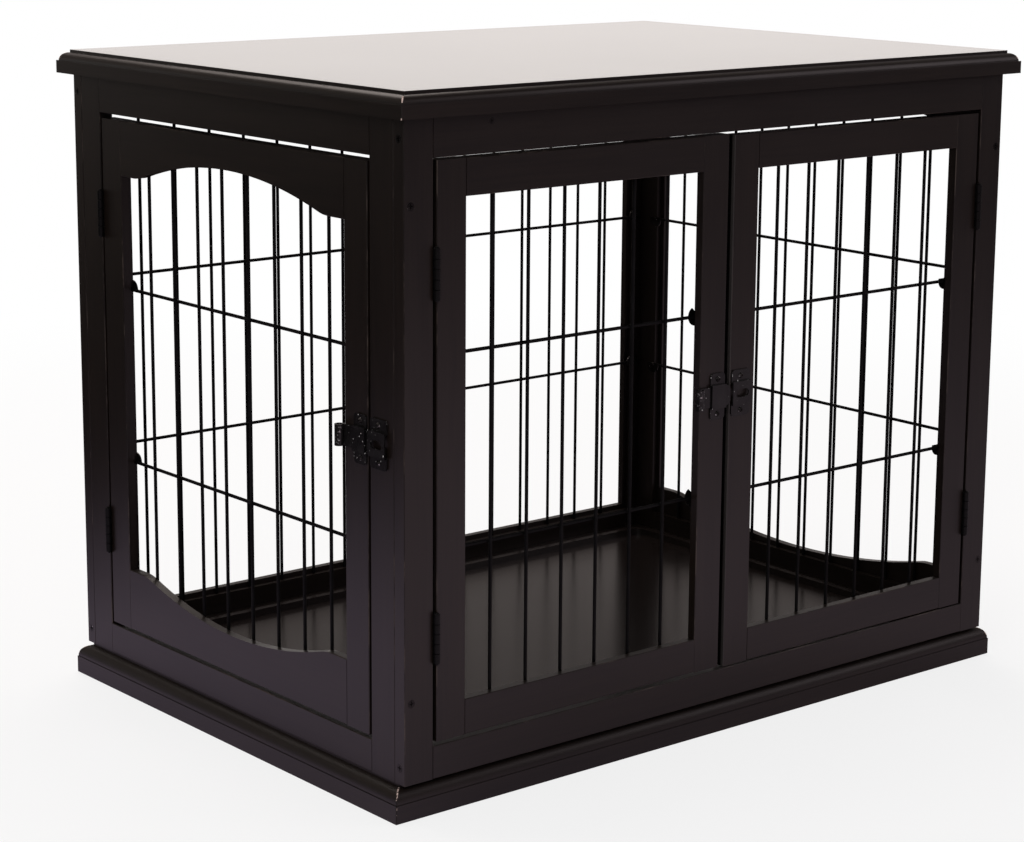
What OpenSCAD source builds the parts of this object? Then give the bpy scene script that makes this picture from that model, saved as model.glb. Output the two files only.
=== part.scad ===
// Wooden dog crate used as a side table: a moulded top on a frame cabinet with wire panels,
// a pair of front doors, a side door with arched rails, and a lift-out floor tray.
// Millimetres, +Z up, origin on the floor under the middle of the crate, front towards -Y.

/* [Whole crate] */
// Width of the top and of the base moulding
crate_w = 812.8; // [700:0.1:1000]
// Depth of the top
crate_d = 584.2; // [500:0.1:760]
// Height from the floor to the top's surface
crate_h = 660.4; // [600:0.1:800]
// How far the top and the base stand proud of the cabinet on its left and right
side_overhang = 12; // [8:0.5:20]
// How far the top stands proud of the cabinet at front and back
front_overhang = 13.1; // [8:0.1:25]
// How far the base stands proud of the cabinet at front and back
base_front_overhang = 3; // [1:0.5:4]

/* [Top] */
// Thickness of the top
top_t = 23.6; // [21:0.1:40]
// Width of the mitred edging strip round the top
top_edging_w = 28; // [18:1:60]
// Height of the plain band at the bottom of the top's edge
top_band_h = 12.7; // [8:0.1:14]
// Radius of the quarter round on the top's edge
top_ovolo_r = 8; // [4:0.5:8]
// Depth of the small step above the plain band
top_step = 1.9; // [0.5:0.1:3]

/* [Base] */
// Height of the base moulding
base_h = 32.5; // [30:0.5:50]
// Width of the base moulding's stock, outside to inside
base_stock_w = 52; // [35:1:80]
// Height of the plain band at the foot of the base
base_band_h = 17.3; // [10:0.1:18]
// Radius of the quarter round on the base
base_ovolo_r = 11.5; // [6:0.5:11.5]
// Depth and height of the small step above the plain band
base_step = 0.8; // [0.5:0.1:2]
// How far the top face behind each quarter round is set in from it
fillet_w = 0.5; // [0.2:0.1:1]

/* [Cabinet frames] */
// Thickness of all frame and door timber
timber_t = 15; // [13:0.5:20]
// Width of the upright posts of the front and back frames
post_w = 32.4; // [28:0.1:50]
// Width of the upright stiles of the left and right frames
side_stile_w = 35.2; // [30:0.1:50]
// Height of the top rails
top_rail_h = 36.5; // [28:0.1:50]
// Height of the bottom rails
bottom_rail_h = 31.5; // [25:0.1:50]
// Size of the eased edge along each piece of timber
ease = 0.7; // [0.2:0.1:1.5]

/* [Doors] */
// Width of the stiles of the front doors
door_stile_w = 33; // [28:0.5:45]
// Height of the top rails of the front doors
door_top_rail_h = 34; // [26:0.5:60]
// Height of the bottom rails of the front doors
door_bottom_rail_h = 34; // [28:0.5:60]
// Gap between a front door and its post on the hinge side
door_hinge_gap = 4; // [3.2:0.1:5]
// Gap between the two front doors
door_middle_gap = 7.5; // [5:0.1:9]
// Gap under the doors
door_bottom_gap = 3.2; // [2:0.1:6]
// Gap above the front doors
door_top_gap = 2.2; // [2:0.1:10]
// How much lower the right front door hangs than the left one
right_door_drop = 1.6; // [0:0.1:1.6]
// Width of the stiles of the side door
side_door_stile_w = 35; // [30:0.5:45]
// Gap beside the side door on its hinge side and on its latch side
side_door_gap = 3.4; // [3:0.1:5]
// Gap above the side door
side_door_top_gap = 5.2; // [3:0.1:10]

/* [Arched rails] */
// Height of the side door's top rail at the crown of its arch
arch_top_rail_h = 30.7; // [25:0.1:60]
// Height of the side door's bottom rail at the lowest point of its arch
arch_bottom_rail_h = 38.5; // [30:0.1:60]
// Rise of an arch from its shoulders to its crown
arch_rise = 25; // [10:0.5:40]
// Length of the straight shoulder at each end of an arch
arch_shoulder = 22; // [8:0.5:40]
// Radius of the reverse curve that joins an arch to its shoulder
arch_ease_r = 62; // [20:1:100]

/* [Wire panels] */
// Diameter of the wires
wire_d = 3.4; // [2.5:0.1:3.4]
// Depth of the front layer of timber that the wires lie behind
rebate_y = 8.5; // [7.5:0.1:9]
// Width of the rebate that the wire ends lie in
rebate_w = 5.5; // [4:0.1:9]
// How far the crossing wires are set into each other at a weld
weld = 0.6; // [0.3:0.1:1]
// Number of upright wires in a front door
front_door_wires = 6; // [4:1:10]
// Number of upright wires in the side door
side_door_wires = 8; // [5:1:12]
// Number of upright wires in the right side panel
right_panel_wires = 10; // [6:1:14]
// Number of upright wires in the back panel
back_panel_wires = 16; // [8:1:22]
// Distance from the outermost upright wires to the timber beside them
wire_edge_gap = 37; // [20:0.5:50]
// Distance between the two level wires of a panel
level_wire_gap = 180; // [120:1:220]
// Radius of the half-moon clips that hold the wire panels
clip_r = 9.5; // [8.5:0.1:9.8]
// Thickness of the clips
clip_t = 1.2; // [0.8:0.1:2]
// Distance from the wires' rebate to the middle of a clip's screw
clip_screw_inset = 2; // [1.8:0.1:2.3]
// How far a clip's straight edge lies past the middle of its screw
clip_lap = 2.4; // [1.5:0.1:4]
// Gap between the ends of the wires and the sides of their rebate
wire_end_gap = 0.5; // [0.2:0.1:1]

/* [Floor] */
// Thickness of the floor board
floor_t = 5; // [4:0.5:9]
// How much narrower than the front opening the lift-out tray is on each side
tray_side_gap = 8; // [3:0.5:40]
// Gap between the tray and the frames at its front and back
tray_end_gap = 33; // [5:1:60]
// Height of the tray
tray_h = 8.5; // [6:0.5:20]
// Thickness of the tray's sheet
tray_t = 1.4; // [1:0.1:3]
// Width of the tray's turned-out rim
tray_rim_w = 6; // [3:0.5:10]
// Corner radius of the tray
tray_corner_r = 24; // [15:1:40]

/* [Hinges] */
// Length of a butt hinge
hinge_l = 46; // [36:1:60]
// Distance from the end of a doorway to the middle of the hinge
hinge_inset = 102; // [60:1:150]
// Thickness of a hinge leaf
leaf_t = 1.2; // [1:0.1:1.4]
// Depth of a hinge leaf, from the pin into the joint
leaf_w = 14.5; // [12:0.5:15.5]
// Outside diameter of the knuckles
knuckle_d = 6; // [5.4:0.1:7]
// Diameter of the hinge pins
pin_d = 3; // [2.5:0.1:3.4]
// Distance of the pin's axis in front of the timber's face
pin_proud = 2.6; // [2.3:0.1:3]
// Number of knuckles in a hinge
knuckles = 5; // [3:2:5]
// Height of the rounded head on each end of a pin
pin_head_h = 1.6; // [1:0.1:3]
// Diameter of the pins' heads
pin_head_d = 5.2; // [4:0.1:6]
// Distance from the pin's axis into the joint to the leaf's screws
leaf_screw_y = 9.2; // [8.5:0.1:10.5]

/* [Latches] */
// Height of the middle of the latches above the floor
latch_z = 343.5; // [250:0.5:450]
// Thickness of the latch plates
latch_plate_t = 1.4; // [1:0.1:2]
// Height of the latch plates
latch_plate_h = 46; // [40:1:60]
// Width of the plate that guides the bar
guide_plate_w = 19; // [14:0.5:24]
// Width of the keeper plate
keeper_plate_w = 25; // [18:0.5:27]
// Corner radius of the plates
plate_corner_r = 4; // [1:0.5:6]
// Distance of the guide plate from the edge of its stile
guide_off = 0.5; // [0.2:0.1:2]
// Distance of the keeper plate from the edge of its stile
keeper_off = 1.2; // [0.5:0.1:3]
// Length of the oval window in the keeper plate
window_l = 17; // [12:0.5:18]
// Height of the oval window in the keeper plate
window_h = 8; // [4:0.5:10]
// Height of the sliding bar
bar_h = 20; // [14:0.5:24]
// Thickness of the sliding bar
bar_t = 2; // [1.5:0.1:3]
// Corner radius of the bar's tip
bar_tip_r = 5; // [2:0.5:6]
// Outside radius of the bar's rolled finger grip
grip_r = 4.5; // [3.5:0.1:4.8]
// Thickness of the rolled grip
grip_t = 1.5; // [1:0.1:2]
// Travel of the bar from open to locked
latch_travel = 12; // [8:0.5:16]
// How far the open bar's tip stops short of the far side of the gap
bar_tip_back = 1; // [0.8:0.1:1.5]
// How far the rolled grip stands off the guide plate when locked
grip_reach = 1; // [0.5:0.1:5]

/* [Fasteners] */
// Diameter of the heads of the cabinet screws
screw_head_d = 8; // [6:0.1:9]
// Diameter of the cabinet screws' shanks
screw_shank_d = 4; // [3:0.1:5]
// Length of the screws that join posts and rails
rail_screw_l = 60; // [45:1:80]
// Length of the screws that join front and back frames to the side frames
frame_screw_l = 40; // [25:1:50]
// Distance of those screws from the ends of the side stiles
frame_screw_inset = 77; // [50:1:120]
// Diameter of the heads of the small screws on hinges, latches and clips
small_head_d = 5.6; // [4.5:0.1:6]
// Diameter of the small screws' shanks
small_shank_d = 2.6; // [2:0.1:3]
// Length of the small screws
small_screw_l = 11; // [8:0.5:12]
// Height of the raised heads of the small screws
small_head_h = 1.7; // [1.2:0.1:2.5]
// Depth of the cross in a screw's head
recess_depth = 1; // [0.4:0.1:1]
// Diameter of the head of the small screw in the front top rail
face_screw_d = 6.4; // [5:0.1:8]
// Distance of that screw to the left of the crate's middle
face_screw_x = 297; // [200:1:320]
// Distance of that screw below the top of the rail
face_screw_drop = 8; // [6:0.5:16]

/* [Clearances] */
// Clearance round a pin in its bore, on the radius
pin_clear = 0.05; // [0.02:0.01:0.1]
// Clearance between sliding or passing parts
slide_clear = 0.35; // [0.3:0.05:0.5]
// Clearance of screws, wires and the floor in their seats
seat_clear = 0.12; // [0.1:0.01:0.3]

/* [Hidden] */
wood = "#2e2523";
wood_edge = "#352b28";
steel = "#1b1a1b";
pan = "#201b1a";
fine = 48;
wire_fine = 24;
arc_fine = 360;
eps = 0.01;
through = 2;

body_w = crate_w - 2 * side_overhang;
body_d = crate_d - 2 * front_overhang;
base_d = body_d + 2 * base_front_overhang;
body_z0 = base_h;
body_z1 = crate_h - top_t;
side_half = body_d / 2 - timber_t;
front_open = body_w / 2 - post_w;
side_open = side_half - side_stile_w;
open_z0 = body_z0 + bottom_rail_h;
open_z1 = body_z1 - top_rail_h;

door_z0 = open_z0 + door_bottom_gap;
door_z1 = open_z1 - door_top_gap;
side_door_top_z = open_z1 - side_door_top_gap;
door_w = front_open - door_hinge_gap - door_middle_gap / 2;
door_edge = door_middle_gap / 2;
side_door_half = side_open - side_door_gap;
door_mid_z = (open_z0 + open_z1) / 2;
body_mid_z = (body_z0 + body_z1) / 2;

wire_y = rebate_y + wire_d / 2 + seat_clear;
cross_y = wire_y + wire_d - weld;
wire_tuck = rebate_w - wire_end_gap;
clip_screw_x = rebate_w + clip_screw_inset;
// How far the clips on the -x and on the +x stile are turned: 0 hangs below the wire's end
// and 180 stands above it
panel_turns = [180, 0];
left_door_turns = [0, 45];
right_door_turns = [0, 0];

tray_w = 2 * (front_open - tray_side_gap);
tray_d = 2 * (side_half - tray_end_gap);

knuckle_r = knuckle_d / 2;
bridge_y = bar_t + 2 * slide_clear;
// Share of a screw head's diameter that its cross takes up
recess_share = 0.6;
// Share of a raised head's base that its flat top keeps
head_top_share = 0.65;
// Width and direction of the slit that stays open in the rolled grip
roll_slit = 2.6;
roll_slit_a = 12;

// Each wall is drawn standing at the front: x along it, y from its outer face inwards, z up
module on_front() translate([0, -body_d / 2, 0]) children();
module on_back() rotate([0, 0, 180]) on_front() children();
module on_left() rotate([0, 0, -90]) translate([0, -body_w / 2, 0]) children();
module on_right() rotate([0, 0, 90]) translate([0, -body_w / 2, 0]) children();

// Timber

module eased_rect(a, b, e) {
    polygon([
        [e, 0], [a - e, 0], [a, e], [a, b - e], [a - e, b], [e, b], [0, b - e], [0, e]
    ]);
}

module upright(x0, x1, z0, z1) {
    translate([x0, 0, z0]) linear_extrude(z1 - z0) eased_rect(x1 - x0, timber_t, ease);
}

module level(x0, x1, z0, z1) {
    translate([x0, 0, z0]) rotate([90, 0, 90]) linear_extrude(x1 - x0)
        eased_rect(timber_t, z1 - z0, ease);
}

module rebate(half, z0, z1) {
    translate([-half - rebate_w, rebate_y, z0 - rebate_w])
        cube([2 * (half + rebate_w), timber_t, z1 - z0 + 2 * rebate_w]);
}

// Top and base

module quarter_round(r) {
    intersection() {
        circle(r = r, $fn = arc_fine / 4);
        translate([-2 * r, 0]) square(2 * r);
    }
}

// A level layer of a strip's section, from x = set_in to the back of the stock
module layer(set_in, stock_w, z1) {
    translate([set_in, 0]) square([stock_w - set_in, z1]);
}

module top_profile() {
    ovolo_x = top_step + top_ovolo_r;
    layer(0, top_edging_w, top_band_h);
    translate([ovolo_x, top_band_h]) quarter_round(top_ovolo_r);
    layer(ovolo_x, top_edging_w, top_band_h + top_ovolo_r);
    layer(ovolo_x + fillet_w, top_edging_w, top_t);
}

module base_profile() {
    ovolo_x = base_step + base_ovolo_r;
    ovolo_z = base_band_h + base_step;
    layer(0, base_stock_w, base_band_h);
    layer(base_step, base_stock_w, ovolo_z);
    translate([ovolo_x, ovolo_z]) quarter_round(base_ovolo_r);
    layer(ovolo_x, base_stock_w, ovolo_z + base_ovolo_r);
    layer(ovolo_x + fillet_w, base_stock_w, base_h);
}

// A strip of moulding along x at the front of a w by d ring, mitred at both ends
module mitred_strip(w, d, stock_w) {
    intersection() {
        translate([-w / 2, -d / 2, 0]) rotate([90, 0, 90]) linear_extrude(w) children();
        translate([0, 0, -through]) linear_extrude(crate_h) polygon([
            [-w / 2, -d / 2], [w / 2, -d / 2],
            [w / 2 - stock_w, -d / 2 + stock_w], [-w / 2 + stock_w, -d / 2 + stock_w]
        ]);
    }
}

module strip_pair(w, d, stock_w, turn) {
    for (a = [0, 180]) rotate([0, 0, a + turn]) mitred_strip(w, d, stock_w) children();
}

module top_panel() {
    color(wood) translate([-crate_w / 2 + top_edging_w, -crate_d / 2 + top_edging_w, body_z1])
        cube([crate_w - 2 * top_edging_w, crate_d - 2 * top_edging_w, top_t]);
}

module top_edging_long() {
    color(wood_edge) translate([0, 0, body_z1])
        strip_pair(crate_w, crate_d, top_edging_w, 0) top_profile();
}

module top_edging_short() {
    color(wood_edge) translate([0, 0, body_z1])
        strip_pair(crate_d, crate_w, top_edging_w, 90) top_profile();
}

module base_moulding_long() {
    color(wood_edge) strip_pair(crate_w, base_d, base_stock_w, 0) base_profile();
}

module base_moulding_short() {
    color(wood_edge) strip_pair(base_d, crate_w, base_stock_w, 90) base_profile();
}

// Floor

module floor_board() {
    w = body_w - 2 * timber_t - 2 * seat_clear;
    d = body_d - 2 * timber_t - 2 * seat_clear;
    color(wood) translate([-w / 2, -d / 2, body_z0]) cube([w, d, floor_t]);
}

module round_rect(w, d, r) {
    square([w - 2 * r, d], center = true);
    square([w, d - 2 * r], center = true);
    for (x = [-1, 1], y = [-1, 1]) translate([x * (w / 2 - r), y * (d / 2 - r)]) circle(r, $fn = 96);
}

module floor_tray() {
    wall_w = tray_w - 2 * tray_rim_w;
    wall_d = tray_d - 2 * tray_rim_w;
    wall_r = tray_corner_r - tray_rim_w;
    color(pan) translate([0, 0, body_z0 + floor_t]) difference() {
        union() {
            linear_extrude(tray_h) round_rect(wall_w, wall_d, wall_r);
            translate([0, 0, tray_h - tray_t]) linear_extrude(tray_t)
                round_rect(tray_w, tray_d, tray_corner_r);
        }
        translate([0, 0, tray_t]) linear_extrude(tray_h)
            round_rect(wall_w - 2 * tray_t, wall_d - 2 * tray_t, wall_r - tray_t);
    }
}

// Fasteners. A screw is drawn with its head at y = 0 and its shank along +y

module screw_body(head_d, shank_d, l, grow) {
    head_h = (head_d - shank_d) / 2;
    rotate([-90, 0, 0]) {
        cylinder(h = head_h, d1 = head_d + 2 * grow, d2 = shank_d + 2 * grow, $fn = fine);
        translate([0, 0, head_h - eps]) cylinder(h = l - head_h, d = shank_d + 2 * grow, $fn = fine);
    }
}

module cross_recess(size, depth) {
    for (a = [0, 90]) rotate([0, a, 0])
        translate([-size / 2, -eps, -size / 10]) cube([size, depth + eps, size / 5]);
}

module flat_screw(head_d, shank_d, l) {
    difference() {
        screw_body(head_d, shank_d, l, 0);
        cross_recess(head_d * recess_share, recess_depth);
    }
}

// A small screw with a raised head that stands on y = 0
module round_screw() {
    top_d = small_head_d * head_top_share;
    difference() {
        rotate([90, 0, 0]) {
            cylinder(h = small_head_h, d1 = small_head_d, d2 = top_d, $fn = fine);
            translate([0, 0, -small_screw_l])
                cylinder(h = small_screw_l + eps, d = small_shank_d, $fn = fine);
        }
        translate([0, -small_head_h, 0]) cross_recess(top_d * head_top_share, recess_depth);
    }
}

module small_bore() {
    translate([0, -through, 0]) rotate([-90, 0, 0])
        cylinder(h = small_screw_l + through + seat_clear, d = small_shank_d + 2 * seat_clear, $fn = fine);
}

// Screws through a post into the end of a rail, seen on the post's outer edge
rail_screw_zs = [body_z0 + bottom_rail_h / 2, body_z1 - top_rail_h / 2];

module at_rail_screws() {
    for (s = [0, 1], z = rail_screw_zs) mirror([s, 0, 0])
        translate([-body_w / 2, timber_t / 2, z]) rotate([0, 0, -90]) children();
}

// Screws through a post into the edge of a side stile, seen on the post's face
module at_frame_screws() {
    for (s = [-1, 1], z = [body_z0 + frame_screw_inset, body_z1 - frame_screw_inset])
        translate([s * (body_w / 2 - timber_t / 2), 0, z]) children();
}

// A single screw in the face of the front top rail, left of its middle
module at_face_screw() {
    translate([-face_screw_x, 0, body_z1 - face_screw_drop]) children();
}

module rail_screw_bores() {
    at_rail_screws() screw_body(screw_head_d, screw_shank_d, rail_screw_l, seat_clear);
}

module frame_screw_bores() {
    at_frame_screws() screw_body(screw_head_d, screw_shank_d, frame_screw_l, seat_clear);
}

module both_ends_screw_bores() {
    on_front() frame_screw_bores();
    on_back() frame_screw_bores();
}

// Front and back frames

module end_post(side) {
    x0 = side > 0 ? front_open : -body_w / 2;
    difference() {
        upright(x0, x0 + post_w, body_z0, body_z1);
        rail_screw_bores();
        frame_screw_bores();
    }
}

module end_rail(z0, z1) {
    difference() {
        level(-front_open, front_open, z0, z1);
        rail_screw_bores();
    }
}

module front_post_left() color(wood) on_front() difference() {
    end_post(-1);
    hinge_screw_bores(-front_open, door_hinge_gap, -1);
}

module front_post_right() color(wood) on_front() difference() {
    end_post(1);
    mirror([1, 0, 0]) hinge_screw_bores(-front_open, door_hinge_gap, -1);
}

module front_rail_top() color(wood) on_front() difference() {
    end_rail(open_z1, body_z1);
    at_face_screw() screw_body(face_screw_d, small_shank_d, small_screw_l, seat_clear);
}
module front_rail_bottom() color(wood) on_front() end_rail(body_z0, open_z0);

module back_rebate() rebate(front_open, open_z0, open_z1);

module back_post(side) color(wood) on_back() difference() {
    end_post(side);
    back_rebate();
    clip_bores(front_open, body_mid_z);
}

module back_post_left() back_post(1);
module back_post_right() back_post(-1);

module back_rail(z0, z1) color(wood) on_back() difference() {
    end_rail(z0, z1);
    back_rebate();
}

module back_rail_top() back_rail(open_z1, body_z1);
module back_rail_bottom() back_rail(body_z0, open_z0);

// Left frame, which holds the side door

module side_stile(side) {
    x0 = side > 0 ? side_open : -side_half;
    upright(x0, x0 + side_stile_w, body_z0, body_z1);
}

module left_stile_front() color(wood) difference() {
    on_left() difference() {
        side_stile(1);
        translate([latch_mid_side, 0, latch_z]) keeper_bores(side_door_gap);
    }
    both_ends_screw_bores();
}

module left_stile_rear() color(wood) difference() {
    on_left() difference() {
        side_stile(-1);
        hinge_screw_bores(-side_open, side_door_gap, -1);
    }
    both_ends_screw_bores();
}

module left_rail_top() color(wood) on_left() level(-side_open, side_open, open_z1, body_z1);
module left_rail_bottom() color(wood) on_left() level(-side_open, side_open, body_z0, open_z0);

// Arches. The outline of an opening whose top and bottom edges are both arched

function arch_half(half) = half - arch_shoulder;
function arch_angle(half) = 2 * atan(arch_rise / arch_half(half));
function arch_r(half) = arch_half(half) / sin(arch_angle(half)) - arch_ease_r;

// The part of an arch above its shoulder line, with the shoulder line at y = 0
module arch_cap(half) {
    a = arch_angle(half);
    r = arch_r(half);
    join_x = r * sin(a);
    join_y = arch_ease_r * (1 - cos(a));
    intersection() {
        translate([0, arch_rise - r]) circle(r, $fn = arc_fine);
        translate([-join_x, -through]) square([2 * join_x, arch_rise + 2 * through]);
        translate([-half, -eps]) square([2 * half, arch_rise + 2 * eps]);
    }
    for (s = [0, 1]) mirror([s, 0]) difference() {
        translate([join_x - eps, -eps]) square([arch_half(half) - join_x + eps, join_y + eps]);
        translate([arch_half(half), arch_ease_r]) circle(arch_ease_r, $fn = arc_fine);
    }
}

module arched_opening(half, z0, z1) {
    translate([0, -through, 0]) rotate([90, 0, 0]) mirror([0, 0, 1])
        linear_extrude(timber_t + 2 * through) {
            translate([-half, z0 + arch_rise]) square([2 * half, z1 - z0 - 2 * arch_rise]);
            translate([0, z1 - arch_rise]) arch_cap(half);
            translate([0, z0 + arch_rise]) mirror([0, 1]) arch_cap(half);
        }
}

// Right side panel

right_z0 = body_z0 + bottom_rail_h;
right_z1 = body_z1 - bottom_rail_h;

module right_cuts() {
    rebate(side_open, right_z0, right_z1);
    clip_bores(side_open, body_mid_z);
}

module right_stile(side) color(wood) difference() {
    on_right() difference() {
        side_stile(side);
        right_cuts();
    }
    both_ends_screw_bores();
}

module right_stile_front() right_stile(-1);
module right_stile_rear() right_stile(1);

module right_rail(z0, z1) color(wood) on_right() difference() {
    level(-side_open, side_open, z0, z1);
    arched_opening(side_open, right_z0, right_z1);
    rebate(side_open, right_z0, right_z1);
}

module right_rail_top() right_rail(right_z1 - arch_rise, body_z1);
module right_rail_bottom() right_rail(body_z0, right_z0 + arch_rise);

// Wire panels

module wire_grid(half, z0, z1, wires, mid_z) {
    last_x = half - wire_edge_gap;
    pitch = 2 * last_x / (wires - 1);
    for (i = [0 : wires - 1])
        translate([i * pitch - last_x, wire_y, z0 - wire_tuck])
            cylinder(h = z1 - z0 + 2 * wire_tuck, d = wire_d, $fn = wire_fine);
    for (s = [-1, 1])
        translate([-half - wire_tuck, cross_y, mid_z + s * level_wire_gap / 2]) rotate([0, 90, 0])
            cylinder(h = 2 * (half + wire_tuck), d = wire_d, $fn = wire_fine);
}

// Half-moon clips on the inner face turn about their screws, over both ends of the level wires
module at_clips(half, mid_z, turns) {
    for (i = [0, 1], s = [-1, 1])
        translate([(2 * i - 1) * (half + clip_screw_x), 0, mid_z + s * level_wire_gap / 2])
            mirror([1 - i, 0, 0]) rotate([0, turns[i], 0]) children();
}

module clip() {
    translate([0, timber_t, 0]) rotate([-90, 0, 0]) linear_extrude(clip_t) difference() {
        intersection() {
            circle(r = clip_r, $fn = 2 * fine);
            translate([-2 * clip_r, -clip_lap]) square(4 * clip_r);
        }
        circle(d = small_shank_d + 2 * seat_clear, $fn = fine);
    }
}

module clips(half, mid_z, turns) {
    at_clips(half, mid_z, turns) {
        clip();
        translate([0, timber_t + clip_t, 0]) rotate([0, 0, 180]) round_screw();
    }
}

module clip_bores(half, mid_z) {
    at_clips(half, mid_z, [0, 0])
        translate([0, timber_t + clip_t, 0]) rotate([0, 0, 180]) small_bore();
}

module back_wire_grid() color(steel) on_back()
    wire_grid(front_open, open_z0, open_z1, back_panel_wires, body_mid_z);

module right_wire_grid() color(steel) on_right()
    wire_grid(side_open, right_z0, right_z1, right_panel_wires, body_mid_z);

// Hinges. Drawn with the pin's axis at the origin along z, the post on the -x side of a gap
// and the door on its +x side, and y running into the joint

hinge_zs = [open_z0 + hinge_inset, open_z1 - hinge_inset];
segment_l = hinge_l / knuckles;

module knuckle_ring(i, r, extra) {
    translate([0, 0, -hinge_l / 2 + i * segment_l - extra])
        cylinder(h = segment_l + 2 * extra, r = r, $fn = fine);
}

module hinge_leaf(gap, side) {
    first = side < 0 ? 0 : 1;
    x0 = side < 0 ? -gap / 2 : gap / 2 - leaf_t;
    difference() {
        union() {
            translate([x0, 0, -hinge_l / 2]) cube([leaf_t, leaf_w, hinge_l]);
            for (i = [first : 2 : knuckles - 1])
                knuckle_ring(i, knuckle_r, i % 2 == 1 ? -slide_clear : 0);
        }
        for (i = [1 - first : 2 : knuckles - 1])
            knuckle_ring(i, knuckle_r + slide_clear, slide_clear * 0.8);
        cylinder(h = hinge_l + through, d = pin_d + 2 * pin_clear, center = true, $fn = fine);
        at_leaf_screws(gap, side) translate([0, -eps, 0])
            screw_body(small_head_d, small_shank_d, small_screw_l, seat_clear);
    }
}

module at_leaf_screws(gap, side) {
    for (z = [-hinge_l / 4, hinge_l / 4])
        translate([side * (gap / 2 - leaf_t), leaf_screw_y, z]) rotate([0, 0, side < 0 ? 90 : -90])
            children();
}

module hinge_pin() {
    cylinder(h = hinge_l, d = pin_d, center = true, $fn = fine);
    for (s = [0, 1]) mirror([0, 0, s]) translate([0, 0, hinge_l / 2])
        cylinder(h = pin_head_h, d1 = pin_head_d, d2 = pin_d, $fn = fine);
}

// Places both hinges of a door whose post edge is at x = edge and whose gap is gap wide
module at_hinges(edge, gap) {
    for (z = hinge_zs) translate([edge + gap / 2, -pin_proud, z]) children();
}

module hinge_leaves(edge, gap, side) at_hinges(edge, gap) hinge_leaf(gap, side);
module hinge_pins(edge, gap) at_hinges(edge, gap) hinge_pin();
module hinge_screws(edge, gap, side) at_hinges(edge, gap) at_leaf_screws(gap, side)
    flat_screw(small_head_d, small_shank_d, small_screw_l);

module hinge_screw_bores(edge, gap, side) at_hinges(edge, gap) at_leaf_screws(gap, side)
    screw_body(small_head_d, small_shank_d, small_screw_l + seat_clear, seat_clear);

// Latches. Drawn with x = 0 at the middle of the gap, the guide on the -x side

module raised_plate(w) {
    half = bar_h / 2 + slide_clear;
    rotate([90, 0, 90]) linear_extrude(w) polygon([
        [0, -latch_plate_h / 2], [0, -half], [-bridge_y, -half], [-bridge_y, half],
        [0, half], [0, latch_plate_h / 2], [-latch_plate_t, latch_plate_h / 2],
        [-latch_plate_t, half + latch_plate_t], [-bridge_y - latch_plate_t, half + latch_plate_t],
        [-bridge_y - latch_plate_t, -half - latch_plate_t], [-latch_plate_t, -half - latch_plate_t],
        [-latch_plate_t, -latch_plate_h / 2]
    ]);
}

// Rounds the corners of a plate w wide, drawn from x = 0
module plate_outline(w) {
    translate([w / 2, through, 0]) rotate([90, 0, 0]) linear_extrude(bridge_y + latch_plate_t + 2 * through)
        round_rect(w, latch_plate_h, plate_corner_r);
}

latch_screw_z = (latch_plate_h / 2 + bar_h / 2 + latch_plate_t) / 2;

module at_plate_screws(w) {
    for (s = [-1, 1]) translate([w / 2, 0, s * latch_screw_z]) children();
}

module latch_plate(w) {
    intersection() {
        difference() {
            raised_plate(w);
            at_plate_screws(w) small_bore();
        }
        plate_outline(w);
    }
}

function guide_x(gap) = -gap / 2 - guide_off - guide_plate_w;
function keeper_x(gap) = gap / 2 + keeper_off;

module latch_guide(gap) translate([guide_x(gap), 0, 0]) latch_plate(guide_plate_w);

module latch_keeper(gap) translate([keeper_x(gap), 0, 0]) difference() {
    latch_plate(keeper_plate_w);
    translate([keeper_plate_w / 2, 0, 0]) rotate([90, 0, 0]) linear_extrude(bridge_y + 2 * through) {
        square([window_l - window_h, window_h], center = true);
        for (s = [-1, 1]) translate([s * (window_l - window_h) / 2, 0]) circle(d = window_h, $fn = fine);
    }
}

module latch_bar(gap) {
    tip_x = gap / 2 - bar_tip_back;
    round_x = tip_x - bar_tip_r;
    round_z = bar_h / 2 - bar_tip_r;
    grip_x = guide_x(gap) - grip_reach - grip_r - latch_travel;
    translate([0, -slide_clear, 0]) rotate([90, 0, 0]) linear_extrude(bar_t) {
        translate([grip_x, -bar_h / 2]) square([round_x - grip_x, bar_h]);
        translate([round_x - eps, -round_z]) square([bar_tip_r + eps, 2 * round_z]);
        for (s = [-1, 1]) translate([round_x, s * round_z]) circle(bar_tip_r, $fn = fine);
    }
    // The grip is rolled back on itself and stops short of the bar
    translate([grip_x, -slide_clear - grip_r, -bar_h / 2]) linear_extrude(bar_h) difference() {
        circle(grip_r, $fn = fine);
        circle(grip_r - grip_t, $fn = fine);
        rotate(roll_slit_a) square([grip_r + through, roll_slit]);
    }
}

module latch_plate_screws(x, w) {
    translate([x, -latch_plate_t, 0]) at_plate_screws(w) round_screw();
}

module latch_plate_bores(x, w) {
    translate([x, -latch_plate_t, 0]) at_plate_screws(w) small_bore();
}

module guide_bores(gap) latch_plate_bores(guide_x(gap), guide_plate_w);
module keeper_bores(gap) latch_plate_bores(keeper_x(gap), keeper_plate_w);

// The front latch sits over the gap between the doors, the side latch at the door's front edge
latch_mid_side = side_open - side_door_gap / 2;

// Front doors. Drawn about the door's own middle, with its hinge stile on the -x side, and
// drop lower than the hinges and latch call for

door_mid_x = -(door_edge + door_w / 2);
door_open = door_w / 2 - door_stile_w;
door_open_z0 = door_z0 + door_bottom_rail_h;
door_open_z1 = door_z1 - door_top_rail_h;

module left_door_place() on_front() children();
module right_door_place() on_front() mirror([1, 0, 0]) children();
module about_door(drop) translate([door_mid_x, 0, -drop]) children();

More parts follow.
